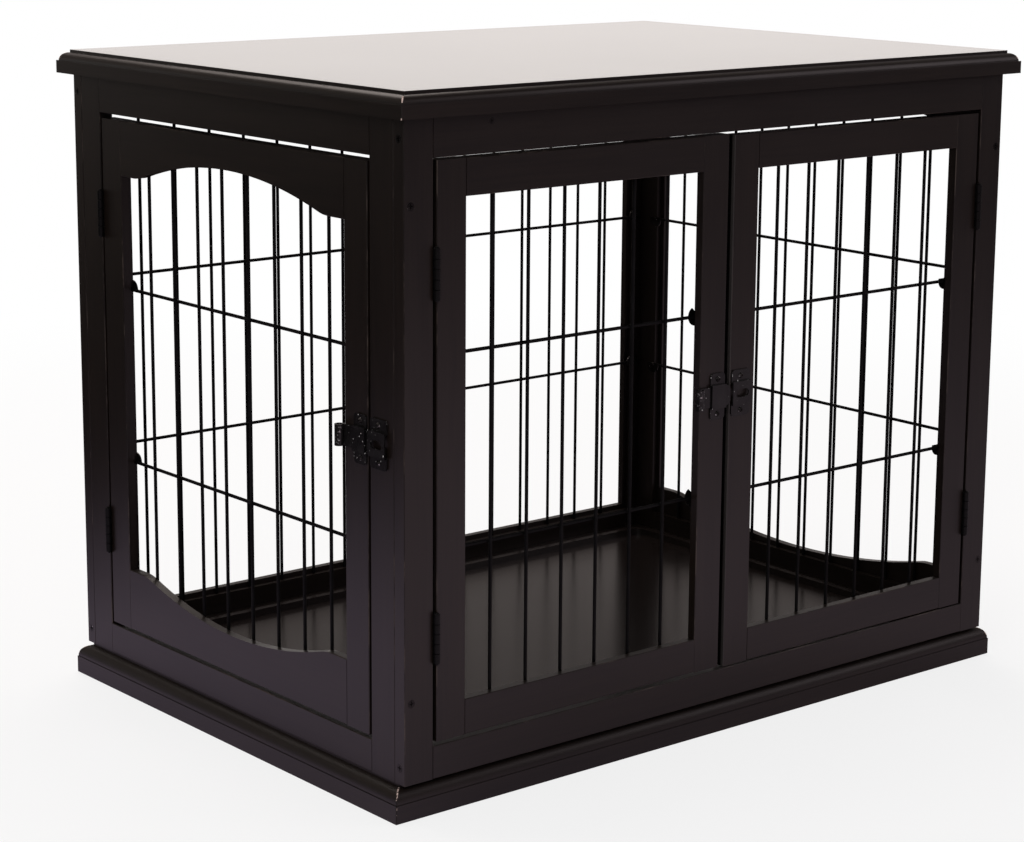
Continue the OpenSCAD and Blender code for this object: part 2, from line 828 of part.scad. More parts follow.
module door_cuts(drop) about_door(drop) {
    rebate(door_open, door_open_z0, door_open_z1);
    clip_bores(door_open, door_mid_z);
}

module door_hinge_stile(drop) difference() {
    about_door(drop) upright(-door_w / 2, -door_open, door_z0, door_z1);
    door_cuts(drop);
    hinge_screw_bores(-front_open, door_hinge_gap, 1);
}

module door_inner_stile(drop) difference() {
    about_door(drop) upright(door_open, door_w / 2, door_z0, door_z1);
    door_cuts(drop);
}

module door_rail(z0, z1, drop) difference() {
    about_door(drop) level(-door_open, door_open, z0, z1);
    door_cuts(drop);
}

module door_grid(drop) about_door(drop)
    wire_grid(door_open, door_open_z0, door_open_z1, front_door_wires, door_mid_z);

module front_left_door_hinge_stile() color(wood) left_door_place() door_hinge_stile(0);
module front_left_door_latch_stile() color(wood) left_door_place() difference() {
    door_inner_stile(0);
    translate([0, 0, latch_z]) guide_bores(door_middle_gap);
}
module front_left_door_rail_top() color(wood) left_door_place() door_rail(door_open_z1, door_z1, 0);
module front_left_door_rail_bottom() color(wood) left_door_place() door_rail(door_z0, door_open_z0, 0);
module front_left_door_wire_grid() color(steel) left_door_place() door_grid(0);

module front_right_door_hinge_stile() color(wood) right_door_place()
    door_hinge_stile(right_door_drop);
module front_right_door_keeper_stile() color(wood) on_front() difference() {
    mirror([1, 0, 0]) door_inner_stile(right_door_drop);
    translate([0, 0, latch_z]) keeper_bores(door_middle_gap);
}
module front_right_door_rail_top() color(wood) right_door_place()
    door_rail(door_open_z1, door_z1, right_door_drop);
module front_right_door_rail_bottom() color(wood) right_door_place()
    door_rail(door_z0, door_open_z0, right_door_drop);
module front_right_door_wire_grid() color(steel) right_door_place() door_grid(right_door_drop);

// Side door, on the left wall, where x runs towards the front of the crate

side_door_open = side_door_half - side_door_stile_w;
side_door_z0 = door_z0 + arch_bottom_rail_h;
side_door_z1 = side_door_top_z - arch_top_rail_h;

module side_door_cuts() {
    rebate(side_door_open, side_door_z0, side_door_z1);
    clip_bores(side_door_open, door_mid_z);
}

module side_door_hinge_stile() color(wood) on_left() difference() {
    upright(-side_door_half, -side_door_open, door_z0, side_door_top_z);
    side_door_cuts();
    hinge_screw_bores(-side_open, side_door_gap, 1);
}

module side_door_latch_stile() color(wood) on_left() difference() {
    upright(side_door_open, side_door_half, door_z0, side_door_top_z);
    side_door_cuts();
    translate([latch_mid_side, 0, latch_z]) guide_bores(side_door_gap);
}

module side_door_rail(z0, z1) color(wood) on_left() difference() {
    level(-side_door_open, side_door_open, z0, z1);
    arched_opening(side_door_open, side_door_z0, side_door_z1);
    rebate(side_door_open, side_door_z0, side_door_z1);
}

module side_door_rail_top() side_door_rail(side_door_z1 - arch_rise, side_door_top_z);
module side_door_rail_bottom() side_door_rail(door_z0, side_door_z0 + arch_rise);
module side_door_wire_grid() color(steel) on_left()
    wire_grid(side_door_open, side_door_z0, side_door_z1, side_door_wires, door_mid_z);

// Hinge and latch nodes

module front_left_hinge_frame_leaves() color(steel) on_front()
    hinge_leaves(-front_open, door_hinge_gap, -1);
module front_right_hinge_frame_leaves() color(steel) right_door_place()
    hinge_leaves(-front_open, door_hinge_gap, -1);
module side_hinge_frame_leaves() color(steel) on_left() hinge_leaves(-side_open, side_door_gap, -1);
module front_left_hinge_door_leaves() color(steel) on_front()
    hinge_leaves(-front_open, door_hinge_gap, 1);
module front_right_hinge_door_leaves() color(steel) right_door_place()
    hinge_leaves(-front_open, door_hinge_gap, 1);
module side_hinge_door_leaves() color(steel) on_left() hinge_leaves(-side_open, side_door_gap, 1);
module front_left_hinge_pins() color(steel) on_front() hinge_pins(-front_open, door_hinge_gap);
module front_right_hinge_pins() color(steel) right_door_place() hinge_pins(-front_open, door_hinge_gap);
module side_hinge_pins() color(steel) on_left() hinge_pins(-side_open, side_door_gap);

module at_front_latch() on_front() translate([0, 0, latch_z]) children();
module at_side_latch() on_left() translate([latch_mid_side, 0, latch_z]) children();

module front_latch_guide() color(steel) at_front_latch() latch_guide(door_middle_gap);
module front_latch_bar() color(steel) at_front_latch() latch_bar(door_middle_gap);
module front_latch_keeper() color(steel) at_front_latch() latch_keeper(door_middle_gap);
module side_latch_guide() color(steel) at_side_latch() latch_guide(side_door_gap);
module side_latch_bar() color(steel) at_side_latch() latch_bar(side_door_gap);
module side_latch_keeper() color(steel) at_side_latch() latch_keeper(side_door_gap);

// Fastener nodes, one for each body

module end_frame_screws() {
    at_rail_screws() flat_screw(screw_head_d, screw_shank_d, rail_screw_l);
    at_frame_screws() flat_screw(screw_head_d, screw_shank_d, frame_screw_l);
}

module cabinet_fasteners() color(steel) {
    on_front() end_frame_screws();
    on_back() {
        end_frame_screws();
        clips(front_open, body_mid_z, panel_turns);
    }
    on_right() clips(side_open, body_mid_z, panel_turns);
    on_front() {
        hinge_screws(-front_open, door_hinge_gap, -1);
        at_face_screw() flat_screw(face_screw_d, small_shank_d, small_screw_l);
    }
    right_door_place() hinge_screws(-front_open, door_hinge_gap, -1);
    on_left() hinge_screws(-side_open, side_door_gap, -1);
    at_side_latch() latch_plate_screws(keeper_x(side_door_gap), keeper_plate_w);
}

module front_left_door_fasteners() color(steel) {
    left_door_place() {
        about_door(0) clips(door_open, door_mid_z, left_door_turns);
        hinge_screws(-front_open, door_hinge_gap, 1);
    }
    at_front_latch() latch_plate_screws(guide_x(door_middle_gap), guide_plate_w);
}

module front_right_door_fasteners() color(steel) {
    right_door_place() {
        about_door(right_door_drop) clips(door_open, door_mid_z, right_door_turns);
        hinge_screws(-front_open, door_hinge_gap, 1);
    }
    at_front_latch() latch_plate_screws(keeper_x(door_middle_gap), keeper_plate_w);
}

module side_door_fasteners() color(steel) {
    on_left() {
        clips(side_door_open, door_mid_z, panel_turns);
        hinge_screws(-side_open, side_door_gap, 1);
    }
    at_side_latch() latch_plate_screws(guide_x(side_door_gap), guide_plate_w);
}

top_panel();
top_edging_long();
top_edging_short();
base_moulding_long();
base_moulding_short();
floor_board();
floor_tray();
front_post_left();
front_post_right();
front_rail_top();
front_rail_bottom();
back_post_left();
back_post_right();
back_rail_top();
back_rail_bottom();
left_stile_front();
left_stile_rear();
left_rail_top();
left_rail_bottom();
right_stile_front();
right_stile_rear();
right_rail_top();
right_rail_bottom();
back_wire_grid();
right_wire_grid();
front_left_door_hinge_stile();
front_left_door_latch_stile();
front_left_door_rail_top();
front_left_door_rail_bottom();
front_left_door_wire_grid();
front_right_door_hinge_stile();
front_right_door_keeper_stile();
front_right_door_rail_top();
front_right_door_rail_bottom();
front_right_door_wire_grid();
side_door_hinge_stile();
side_door_latch_stile();
side_door_rail_top();
side_door_rail_bottom();
side_door_wire_grid();
front_left_hinge_frame_leaves();
front_right_hinge_frame_leaves();
side_hinge_frame_leaves();
front_left_hinge_door_leaves();
front_right_hinge_door_leaves();
side_hinge_door_leaves();
front_left_hinge_pins();
front_right_hinge_pins();
side_hinge_pins();
front_latch_guide();
front_latch_bar();
front_latch_keeper();
side_latch_guide();
side_latch_bar();
side_latch_keeper();
cabinet_fasteners();
front_left_door_fasteners();
front_right_door_fasteners();
side_door_fasteners();
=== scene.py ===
"""Dresses the wooden dog crate: lacquer, steel, tray paint, weld beads, floor, light and camera.

Metres, +Z up, the front towards -Y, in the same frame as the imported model.
"""

import math

import bmesh
import bpy
from mathutils import Matrix, Vector

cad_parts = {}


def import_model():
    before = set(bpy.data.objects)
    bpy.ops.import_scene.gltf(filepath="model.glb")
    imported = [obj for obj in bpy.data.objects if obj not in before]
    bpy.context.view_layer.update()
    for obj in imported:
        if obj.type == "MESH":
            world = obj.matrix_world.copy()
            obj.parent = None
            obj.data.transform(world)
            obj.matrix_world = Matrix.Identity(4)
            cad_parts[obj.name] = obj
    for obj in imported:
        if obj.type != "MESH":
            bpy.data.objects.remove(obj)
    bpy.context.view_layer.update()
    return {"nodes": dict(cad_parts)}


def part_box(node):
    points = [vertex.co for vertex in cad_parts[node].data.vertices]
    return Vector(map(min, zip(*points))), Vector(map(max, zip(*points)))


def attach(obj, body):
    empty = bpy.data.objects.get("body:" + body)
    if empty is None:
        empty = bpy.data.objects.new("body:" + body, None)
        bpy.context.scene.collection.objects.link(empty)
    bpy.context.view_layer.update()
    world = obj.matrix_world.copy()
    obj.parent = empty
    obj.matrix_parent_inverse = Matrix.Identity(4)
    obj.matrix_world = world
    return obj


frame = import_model()

# Camera, found by matching the crate's corners with the photograph's
IMAGE_W, IMAGE_H = 1024, 842
FOCAL_PX = 2562.7
HEADING, DIP, ROLL = 39.599, 11.276, 0.374  # degrees
EYE = (-1.7196, -2.0288, 0.8636)
AIM_ROW = 360  # the image row that the lens's axis meets
SENSOR_W = 36.0  # millimetres

# Colours, linear
ESPRESSO_DARK = (0.0044, 0.0026, 0.0019)
ESPRESSO_LIGHT = (0.0094, 0.0058, 0.0042)
# lighter eased edges: partly wear, partly a painted highlight where the edges catch the light
WORN_EDGE_AND_HIGHLIGHT = (0.060, 0.043, 0.035)
# painted shade deep in the gap between the front doors, and painted light on the gap's front lip
PAINTED_GAP_SHADE = (0.0015, 0.0012, 0.0012)
PAINTED_GAP_LIGHT = (0.028, 0.024, 0.023)
BARE_WOOD = (0.60, 0.45, 0.40)
WIRE_BLACK = (0.0012, 0.0011, 0.0012)
WIRE_WORN = (0.0032, 0.0029, 0.0033)
STEEL_BLACK = (0.0034, 0.0030, 0.0032)
STEEL_WORN = (0.0085, 0.0078, 0.0080)
OXIDE_DARK = (0.008, 0.007, 0.007)
OXIDE_LIGHT = (0.026, 0.023, 0.022)
RUBBED_STEEL = (0.42, 0.40, 0.40)
TRAY_BROWN = (0.0080, 0.0056, 0.0050)
TRAY_SCUFFED = (0.017, 0.015, 0.015)
PAPER = (0.86, 0.86, 0.86)
WHITE = (1.0, 1.0, 1.0)
AMBIENT = (0.52, 0.52, 0.53)

# Colours of the room, and the light and shade painted on the floor, that only reflections see,
# linear
HORIZON_FAR = (1.0, 0.94, 0.91)
SKY_FAR = (0.22, 0.19, 0.18)
ROOM_LEFT = (0.010, 0.006, 0.004)
ROOM_LEFT_HIGH = (0.22, 0.18, 0.14)
ROOM_RIGHT = (0.22, 0.17, 0.19)
ROOM_RIGHT_HIGH = (0.06, 0.043, 0.050)
# painted light and shade on the floor for reflections: bright beside the crate, painted shade close
# to it, dimmer to the right and far off
FLOOR_LEFT = (0.70, 0.57, 0.73)
FLOOR_LEFT_CLOSE = (0.50, 0.41, 0.52)
FLOOR_FRONT = (0.78, 0.615, 0.70)
FLOOR_FRONT_RIGHT = (0.44, 0.35, 0.40)
FLOOR_FRONT_CLOSE = (0.28, 0.22, 0.245)
FLOOR_DIM = (0.010, 0.005, 0.003)
FLOOR_BEYOND = (0.26, 0.22, 0.20)


# Node helpers

MIX_A, MIX_B, MIX_RESULT = 6, 7, 2  # a Mix node's colour sockets: it has a set for each type


def new_material(name):
    material = bpy.data.materials.new(name)
    material.use_nodes = True
    tree = material.node_tree
    tree.nodes.clear()
    return material, tree


def add(tree, kind, inputs=None, **settings):
    """A node with its settings, and with its inputs set to values or linked to sockets."""
    node = tree.nodes.new(kind)
    for key, value in settings.items():
        setattr(node, key, value)
    for key, value in (inputs or {}).items():
        socket = node.inputs[key]
        if isinstance(value, bpy.types.NodeSocket):
            tree.links.new(value, socket)
        elif socket.type == "RGBA":
            socket.default_value = (*value, 1.0)
        else:
            socket.default_value = value
    return node


def math_node(tree, operation, a, b=0.0, clamp=False):
    node = add(tree, "ShaderNodeMath", {0: a, 1: b}, operation=operation, use_clamp=clamp)
    return node.outputs[0]


def product(tree, a, b):
    return math_node(tree, "MULTIPLY", a, b)


def raised(tree, base, mask, amount, clamp=False):
    """base, raised by amount where mask is 1."""
    return math_node(tree, "ADD", base, product(tree, mask, amount), clamp)


def inverse(tree, mask):
    return math_node(tree, "SUBTRACT", 1.0, mask)


def vector_math(tree, operation, inputs, output):
    node = add(tree, "ShaderNodeVectorMath", inputs, operation=operation)
    return node.outputs[output]


def dot(tree, vector, direction):
    return vector_math(tree, "DOT_PRODUCT", {0: vector, 1: direction}, "Value")


def smooth_step(tree, value, low, high):
    limits = {"From Min": low, "From Max": high, "To Min": 0.0, "To Max": 1.0}
    node = add(
        tree, "ShaderNodeMapRange", {"Value": value, **limits}, interpolation_type="SMOOTHSTEP"
    )
    return node.outputs["Result"]


def blend_colour(tree, factor, a, b):
    node = add(tree, "ShaderNodeMix", {0: factor, MIX_A: a, MIX_B: b}, data_type="RGBA")
    return node.outputs[MIX_RESULT]


def object_position(tree):
    return add(tree, "ShaderNodeTexCoord").outputs["Object"]


def parts_of(tree, vector):
    return add(tree, "ShaderNodeSeparateXYZ", {"Vector": vector}).outputs


def normal_parts(tree):
    return parts_of(tree, add(tree, "ShaderNodeTexCoord").outputs["Normal"])


def noise(tree, scale, detail, roughness, offset=(0.0, 0.0, 0.0)):
    """Noise whose frequency is scale, in cycles per metre: one number, or one for each axis."""
    if isinstance(scale, float):
        scale = (scale,) * 3
    placing = {"Vector": object_position(tree), "Scale": scale, "Location": offset}
    vector = add(tree, "ShaderNodeMapping", placing).outputs["Vector"]
    pattern = {"Vector": vector, "Scale": 1.0, "Detail": detail, "Roughness": roughness}
    return add(tree, "ShaderNodeTexNoise", pattern).outputs["Fac"]


def grain_noise(tree, axis, along, across, **pattern):
    """Noise with one frequency along the grain's axis and another across it."""
    scale = tuple(along if letter == axis else across for letter in "xyz")
    return noise(tree, scale, **pattern)


def bump(tree, height, strength, distance):
    inputs = {"Height": height, "Strength": strength, "Distance": distance}
    return add(tree, "ShaderNodeBump", inputs).outputs["Normal"]


def surface(tree, inputs):
    shader = add(tree, "ShaderNodeBsdfPrincipled", inputs)
    add(tree, "ShaderNodeOutputMaterial", {"Surface": shader.outputs["BSDF"]})


# Masks

EASED = 0.86  # the normal's largest part is under this on an eased edge
ROUNDED = 0.97  # and under this on a rounded face too
MITRE_LINE_W = 0.0013
MITRE_LINE_CORE = 0.35  # share of the line's width that is at full strength
MEETING_FACE_X = (0.0039, 0.0047)  # how near the middle the painted light and shade of the facing sides ends
MEETING_LIP_DEPTH = (0.0033, 0.0050)  # depth at which the painted light on the lip gives way to the painted shade further in


def leaning_mask(tree, limit):
    """1 on faces that lean between two axes: the timber's eased edges and the mouldings' rounds."""
    parts = normal_parts(tree)
    x, y, z = (math_node(tree, "ABSOLUTE", parts[i]) for i in range(3))
    largest = math_node(tree, "MAXIMUM", math_node(tree, "MAXIMUM", x, y), z)
    return math_node(tree, "LESS_THAN", largest, limit)


def mitre_mask(tree, half_w, half_d):
    """1 in a narrow line along the diagonal joint at the corners of a half_w by half_d ring."""
    parts = parts_of(tree, object_position(tree))
    from_side = math_node(tree, "SUBTRACT", math_node(tree, "ABSOLUTE", parts[0]), half_w)
    from_front = math_node(tree, "SUBTRACT", math_node(tree, "ABSOLUTE", parts[1]), half_d)
    gap = math_node(tree, "ABSOLUTE", math_node(tree, "SUBTRACT", from_side, from_front))
    outside = smooth_step(tree, gap, MITRE_LINE_W * MITRE_LINE_CORE, MITRE_LINE_W)
    return inverse(tree, outside)


def meeting_masks(tree, front):
    """Masks of the narrow faces where the front doors meet, for the gap's painted light and shade:
    the whole face, and its deeper part.

    front is the y of the doors' outer side.
    """
    parts = parts_of(tree, object_position(tree))
    from_middle = math_node(tree, "ABSOLUTE", parts[0])
    face = inverse(tree, smooth_step(tree, from_middle, *MEETING_FACE_X))
    depth = math_node(tree, "SUBTRACT", parts[1], front)
    deeper = smooth_step(tree, depth, *MEETING_LIP_DEPTH)
    return face, product(tree, face, deeper)


# Lacquer

FIBRE = dict(along=9.0, across=330.0, detail=7.0, roughness=0.62)
FIGURE = dict(along=2.2, across=26.0, detail=3.0, roughness=0.5, offset=(3.1, 7.7, 1.9))
EDGE_WEAR_AND_HIGHLIGHT = dict(along=22.0, across=60.0, detail=4.0, roughness=0.7, offset=(5.0, 4.0, 3.0))
CLOUD = dict(scale=4.5, detail=2.0, roughness=0.5, offset=(0.4, 2.6, 5.2))
SPECKLE = dict(scale=900.0, detail=2.0, roughness=0.5)
CHIPPING = dict(scale=(210.0, 210.0, 150.0), detail=3.0, roughness=0.6, offset=(8.0, 1.0, 2.0))
FIBRE_IN_TONE, FIGURE_IN_TONE = 0.55, 0.45
FIBRE_IN_RELIEF, SPECKLE_IN_RELIEF = 0.8, 0.2
TONE_RANGE = (0.32, 0.68)
EDGE_WEAR_AND_HIGHLIGHT_RANGE = (0.48, 0.66)
EDGE_WEAR_AND_HIGHLIGHT_STRENGTH = 0.7
CHIP_RANGE = (0.60, 0.66)
CHIPS_ON_ROUNDS = 0.16  # how much more readily the rounds chip than the flats
MITRE_DULLNESS = 0.3
CLOUD_GLOSS = (-0.05, 0.10)  # change of roughness: its start and its span
PLAIN_SHINE, GAP_SHADE_DULLING = 0.5, -0.45  # specular level, and its change where the gap's painted shade lies
UPPER_FACE = (0.90, 0.99)  # upward part of the normal on the face that is polished


def chip_mitre(tree, ring, colour, gloss):
    """Small bare chips along the mitres of a ring, and a duller line where its pieces meet."""
    likely = product(tree, leaning_mask(tree, ROUNDED), CHIPS_ON_ROUNDS)
    patches = math_node(tree, "ADD", noise(tree, **CHIPPING), likely)
    line = mitre_mask(tree, *ring)
    bare = product(tree, line, smooth_step(tree, patches, *CHIP_RANGE))
    duller = raised(tree, gloss, line, MITRE_DULLNESS, clamp=True)
    return blend_colour(tree, bare, colour, BARE_WOOD), duller


def wear_and_highlight_edges(tree, axis, colour):
    """Eased edges rubbed lighter in stretches: partly wear, partly a painted highlight where the
    edges catch the light.
    """
    stretches = smooth_step(tree, grain_noise(tree, axis, **EDGE_WEAR_AND_HIGHLIGHT), *EDGE_WEAR_AND_HIGHLIGHT_RANGE)
    worn = product(tree, leaning_mask(tree, EASED), stretches)
    return blend_colour(tree, product(tree, worn, EDGE_WEAR_AND_HIGHLIGHT_STRENGTH), colour, WORN_EDGE_AND_HIGHLIGHT)


def lacquer(name, axis, mitre=None, roughness=0.36, polish=0.0, meeting=None):
    """Dark satin lacquer over timber whose grain runs along axis.

    mitre is the (half_w, half_d) of a mitred ring, and polish is the share of a glossy top coat
    that the upper face has. meeting is the y of the front doors' outer side, for the stiles that
    meet: their facing sides get painted light at the front, and painted shade further in, where
    the gap between the doors lies in shade.
    """
    material, tree = new_material(name)
    fibre = grain_noise(tree, axis, **FIBRE)
    figure = grain_noise(tree, axis, **FIGURE)
    tone = raised(tree, product(tree, fibre, FIBRE_IN_TONE), figure, FIGURE_IN_TONE)
    colour = blend_colour(
        tree, smooth_step(tree, tone, *TONE_RANGE), ESPRESSO_DARK, ESPRESSO_LIGHT
    )
    start, span = CLOUD_GLOSS
    gloss = raised(tree, roughness + start, noise(tree, **CLOUD), span)
    if mitre:
        colour, gloss = chip_mitre(tree, mitre, colour, gloss)
    else:
        colour = wear_and_highlight_edges(tree, axis, colour)
    shine = PLAIN_SHINE
    if meeting is not None:
        # painted light at the front of the doors' facing sides, and painted shade with a duller
        # shine deeper in the gap
        face, gap_shade = meeting_masks(tree, meeting)
        colour = blend_colour(tree, face, colour, PAINTED_GAP_LIGHT)
        colour = blend_colour(tree, gap_shade, colour, PAINTED_GAP_SHADE)
        shine = raised(tree, PLAIN_SHINE, gap_shade, GAP_SHADE_DULLING)
    coat = 0.0
    if polish:
        upper = smooth_step(tree, normal_parts(tree)[2], *UPPER_FACE)
        coat = product(tree, upper, polish)
    speckle = noise(tree, **SPECKLE)
    relief = raised(tree, product(tree, fibre, FIBRE_IN_RELIEF), speckle, SPECKLE_IN_RELIEF)
    surface(
        tree,
        {
            "Base Color": colour,
            "Roughness": gloss,
            "IOR": 1.40,
            "Specular IOR Level": shine,
            "Coat Weight": coat,
            "Coat Roughness": 0.07,
            "Normal": bump(tree, relief, strength=0.16, distance=0.0002),
        },
    )
    return material


# Steel and tray paint

MOTTLE = dict(scale=60.0, detail=3.0, roughness=0.6)
GRIT = dict(detail=3.0, roughness=0.6, offset=(1.0, 2.0, 3.0))
RUBBING = dict(scale=480.0, detail=2.0, roughness=0.5, offset=(6.0, 3.0, 9.0))
COAT_CHIPS = dict(scale=420.0, detail=0.0, roughness=0.5, offset=(2.0, 8.0, 5.0))
MOTTLE_RANGE = (0.35, 0.7)
MOTTLE_GLOSS = (-0.06, 0.14)  # change of roughness: its start and its span
RUBBING_RANGE = (0.58, 0.68)
COAT_CHIP_RANGE = (0.79, 0.84)

SCUFFS = dict(scale=(14.0, 120.0, 60.0), detail=5.0, roughness=0.7)
PEEL = dict(scale=260.0, detail=2.0, roughness=0.5)
WAVES = dict(scale=7.0, detail=2.0, roughness=0.5)
SCUFF_RANGE = (0.52, 0.78)
SCUFF_STRENGTH = 0.35
TRAY_ROUGHNESS, SCUFF_DULLNESS = 0.19, 0.08
PEEL_HEIGHT = 0.1  # share of the waves' height


def steel(name, dark, light, roughness, grit_scale, grit_bump, rubbed=False, **extra):
    """Blackened or coated steel, with the faint texture of its coat.

    With rubbed, the coat has worn through in spots on eased edges and rounds, and has a few small
    chips. extra goes to the shader's sockets.
    """
    material, tree = new_material(name)
    mottle = noise(tree, **MOTTLE)
    colour = blend_colour(tree, smooth_step(tree, mottle, *MOTTLE_RANGE), dark, light)
    start, span = MOTTLE_GLOSS
    grit = noise(tree, grit_scale, **GRIT)
    inputs = {
        "Base Color": colour,
        "Roughness": raised(tree, roughness + start, mottle, span),
        "Normal": bump(tree, grit, strength=grit_bump, distance=0.0002),
    }
    if rubbed:
        spots = smooth_step(tree, noise(tree, **RUBBING), *RUBBING_RANGE)
        bare = product(tree, leaning_mask(tree, ROUNDED), spots)
        chips = smooth_step(tree, noise(tree, **COAT_CHIPS), *COAT_CHIP_RANGE)
        light_spots = math_node(tree, "MAXIMUM", bare, chips)
        inputs["Base Color"] = blend_colour(tree, light_spots, colour, RUBBED_STEEL)
        inputs["Metallic"] = bare
    inputs.update({key.replace("_", " "): value for key, value in extra.items()})
    surface(tree, inputs)
    return material


def tray_paint():
    """Glossy dark paint on thin sheet, with soft scuffs where the tray slides and is wiped."""
    material, tree = new_material("tray_paint")
    scuff = smooth_step(tree, noise(tree, **SCUFFS), *SCUFF_RANGE)
    relief = math_node(
        tree, "ADD", product(tree, noise(tree, **PEEL), PEEL_HEIGHT), noise(tree, **WAVES)
    )
    scuffed = product(tree, scuff, SCUFF_STRENGTH)
    surface(
        tree,
        {
            "Base Color": blend_colour(tree, scuffed, TRAY_BROWN, TRAY_SCUFFED),
            "Roughness": raised(tree, TRAY_ROUGHNESS, scuff, SCUFF_DULLNESS),
            "IOR": 1.45,
            "Normal": bump(tree, relief, strength=0.12, distance=0.002),
        },
    )
    return material


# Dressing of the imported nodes

MEETING_STILES = ("front_left_door_latch_stile", "front_right_door_keeper_stile")
EASE_W = 0.00025
SHARP_ANGLE = 35  # degrees


def assign(node, material):
    mesh = frame["nodes"][node].data
    if not mesh.materials:
        mesh.materials.append(material)
    for i in range(len(mesh.materials)):
        mesh.materials[i] = material


def grain_axis(node):
    """Grain runs up posts and stiles, along rails, and across the crate on the floor board."""
    if any(word in node for word in ("post", "stile")):
        return "z"
    if node.startswith(("left_rail", "right_rail", "side_door_rail")):
        return "y"
    return "x"


def ring_of(node):
    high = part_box(node)[1]
    return high[0], high[1]


def ease_edges(node):
    """Breaks the sharp edges of a pressed steel part, so that they catch the light."""
    bevel = frame["nodes"][node].modifiers.new("eased_edges", "BEVEL")
    bevel.width = EASE_W
    bevel.segments = 2
    bevel.limit_method = "ANGLE"
    bevel.angle_limit = math.radians(SHARP_ANGLE)
    bevel.harden_normals = True


def moulding_lacquers():
    """Lacquer for each mitred strip, with chips at the corners of its own ring."""
    made = {}
    for part, roughness, polish in (("top_edging", 0.34, 1.0), ("base_moulding", 0.42, 0.0)):
        ring = ring_of(part + "_long")
        for size, axis in (("long", "x"), ("short", "y")):
            name = part + "_" + size
            made[name] = lacquer("lacquer_" + name, axis, ring, roughness, polish)
    return made


def steels():
    """The coats of the wire, the latches, the hinges and the screws."""
    wire = steel(
        "wire_coat",
        WIRE_BLACK,
        WIRE_WORN,
        roughness=0.55,
        grit_scale=700.0,
        grit_bump=0.25,
        IOR=1.2,
    )
    latch = steel(
        "latch_coat",
        STEEL_BLACK,
        STEEL_WORN,
        roughness=0.29,
        grit_scale=520.0,
        grit_bump=0.3,
        rubbed=True,
        IOR=1.22,
        Coat_Weight=0.3,
        Coat_Roughness=0.10,
    )
    hinge = steel(
        "hinge_coat",
        STEEL_BLACK,
        STEEL_BLACK,
        roughness=0.42,
        grit_scale=520.0,
        grit_bump=0.3,
        IOR=1.22,
    )
    screw = steel(
        "screw_oxide",
        OXIDE_DARK,
        OXIDE_LIGHT,
        roughness=0.34,
        grit_scale=600.0,
        grit_bump=0.2,
        rubbed=True,
        Metallic=0.8,
    )
    return wire, latch, hinge, screw


def dress_nodes():
    """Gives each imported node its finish, and returns the wire's for the weld beads."""
    timber = {axis: lacquer("lacquer_" + axis, axis) for axis in "xyz"}
    moulded = moulding_lacquers()
    table_top = lacquer("lacquer_top", "x", roughness=0.30, polish=1.0)
    wire, latch, hinge, screw = steels()
    tray = tray_paint()
    meeting = lacquer("lacquer_meeting", "z", meeting=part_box(MEETING_STILES[0])[0][1])
    for node in frame["nodes"]:
        if node in moulded:
            assign(node, moulded[node])
        elif node == "top_panel":
            assign(node, table_top)
        elif node == "floor_tray":
            assign(node, tray)
        elif node in MEETING_STILES:
            assign(node, meeting)
        elif node.endswith("wire_grid"):
            assign(node, wire)
        elif node.endswith("fasteners"):
            assign(node, screw)
        elif ("hinge_" in node or "latch_" in node) and not node.endswith("stile"):
            assign(node, hinge if "hinge_" in node else latch)
            ease_edges(node)
        else:
            assign(node, timber[grain_axis(node)])
    return wire


# Weld beads

BEAD_W = 0.0046
BEAD_H = 0.0036
BEAD_DEPTH = 0.0040
BEAD_SEGMENTS, BEAD_RINGS = 14, 9
WIRE_GAP = 0.012  # points further apart than this lie on different wires
END_DEPTH = 0.0005  # points this near the end of the grid lie on the wires' cut ends
GRIDS = {
    "back_wire_grid": "cabinet",
    "right_wire_grid": "cabinet",
    "front_left_door_wire_grid": "front_left_door",
    "front_right_door_wire_grid": "front_right_door",
    "side_door_wire_grid": "side_door",
}


def clusters(values, gap):
    """Middles of the groups that the values fall into, where groups lie more than gap apart."""
    ordered = sorted(values)
    groups = [[ordered[0]]]
    for value in ordered[1:]:
        if value - groups[-1][-1] > gap:
            groups.append([])
        groups[-1].append(value)
    return [(group[0] + group[-1]) / 2 for group in groups]


def weld_beads(node, body, material):
    """A small flattened bead wherever a level wire crosses an upright one."""
    low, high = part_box(node)
    points = [v.co for v in frame["nodes"][node].data.vertices]
    along = 0 if high[0] - low[0] > high[1] - low[1] else 1
    across = 1 - along
    uprights = clusters([p[along] for p in points if p.z > high[2] - END_DEPTH], WIRE_GAP)
    levels = clusters([p.z for p in points if p[along] > high[along] - END_DEPTH], WIRE_GAP)
    size = Vector((0.0, 0.0, BEAD_H))
    size[along], size[across] = BEAD_W, BEAD_DEPTH
    middle = (low[across] + high[across]) / 2
    built = bmesh.new()
    for a in uprights:
        for z in levels:
            centre = Vector((0.0, 0.0, z))
            centre[along], centre[across] = a, middle
            place = Matrix.Translation(centre) @ Matrix.Diagonal((*size, 1.0))
            bmesh.ops.create_uvsphere(
                built, u_segments=BEAD_SEGMENTS, v_segments=BEAD_RINGS, radius=0.5, matrix=place
            )
    mesh = bpy.data.meshes.new(node + "_welds")
    built.to_mesh(mesh)
    built.free()
    for polygon in mesh.polygons:
        polygon.use_smooth = True
    mesh.materials.append(material)
    piece = bpy.data.objects.new(node + "_welds", mesh)
    bpy.context.collection.objects.link(piece)
    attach(piece, body)


# Floor

